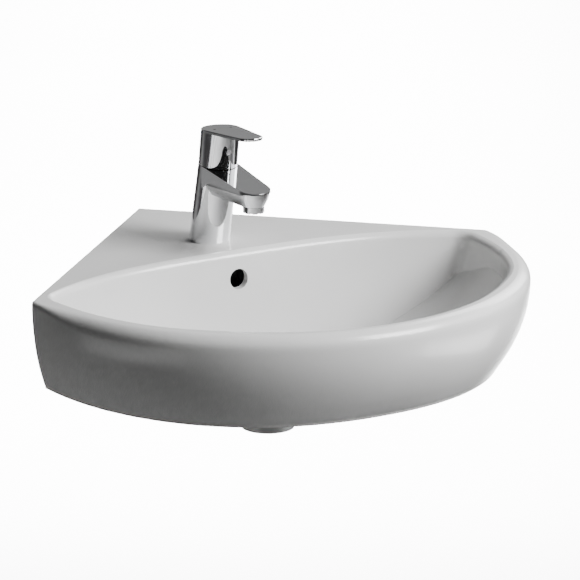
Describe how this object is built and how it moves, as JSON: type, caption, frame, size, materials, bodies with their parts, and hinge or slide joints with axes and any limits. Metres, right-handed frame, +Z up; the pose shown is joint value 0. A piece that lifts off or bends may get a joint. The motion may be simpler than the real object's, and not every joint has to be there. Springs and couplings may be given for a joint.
{
  "type": "corner washbasin with single-lever tap",
  "caption": "Wall-hung glazed corner washbasin with a round front and an oval bowl cut straight at the back, overflow hole and drain, and a leaning chrome single-lever mixer tap on its deck.",
  "frame": {"origin": "the rear corner of the basin, where its two wall faces meet at right angles, at the level of the flat deck", "axes": "+Z up; -Y from the room's corner towards the user; the X = 0 plane is the plane of symmetry; the wall faces stand at 45 degrees to X and Y"},
  "size_m": [0.59, 0.5835, 0.3256],
  "materials": {
    "glaze": "white glaze, glossy",
    "chrome_plate": "polished chrome plate",
    "steel": "plain stainless steel",
    "brass": "machined brass",
    "black_rubber": "matt rubber",
    "disc_ceramic": "lapped technical ceramic",
    "pale_plastic": "moulded plastic",
    "dark_plastic": "moulded plastic",
    "red_plastic": "moulded plastic",
    "grey_plastic": "moulded plastic cover",
    "mark_dark": "enamel dot",
    "mark_light": "enamel dot"
  },
  "bodies": {
    "basin_and_tap": {"basin": "glaze", "tap_body": "chrome_plate", "ball_cover": "chrome_plate", "aerator_housing": "chrome_plate", "aerator_insert": "pale_plastic", "aerator_screen": "steel", "aerator_washer": "black_rubber", "base_gasket": "black_rubber", "cartridge_base": "pale_plastic", "port_seals": "black_rubber", "fixed_disc": "disc_ceramic", "cartridge_housing": "pale_plastic", "limit_ring": "red_plastic", "cartridge_nut": "brass", "mounting_stud": "steel", "horseshoe_washer": "black_rubber", "horseshoe_plate": "steel", "stud_nut": "brass"},
    "holder": {"stem_holder": "dark_plastic", "pivot_pin": "steel"},
    "lever": {"lever_stem": "steel", "lever_handle": "chrome_plate", "grub_screw": "steel", "screw_plug": "grey_plastic", "hot_mark": "mark_dark", "cold_mark": "mark_light"},
    "slider": {"disc_carrier": "pale_plastic", "moving_disc": "disc_ceramic"}
  },
  "joints": [
    {"name": "lever_turn", "type": "hinge", "parent": "basin_and_tap", "child": "holder", "pos_m": [0, -0.1851, 0.0922], "axis": [0, -0.1513, 0.9885], "range_deg": [-45, 45]},
    {"name": "lever_lift", "type": "hinge", "parent": "holder", "child": "lever", "pos_m": [0, -0.18616, 0.09912], "axis": [-1, 0, 0], "range_deg": [0, 17]},
    {"name": "disc_slide", "type": "slide", "parent": "holder", "child": "slider", "axis": [0, -0.9885, -0.1513], "range_m": [0, 0.00396]}
  ],
  "couplings": [
    {"joint": "disc_slide", "follows": "lever_lift", "m_per_rad": 0.0132}
  ]
}
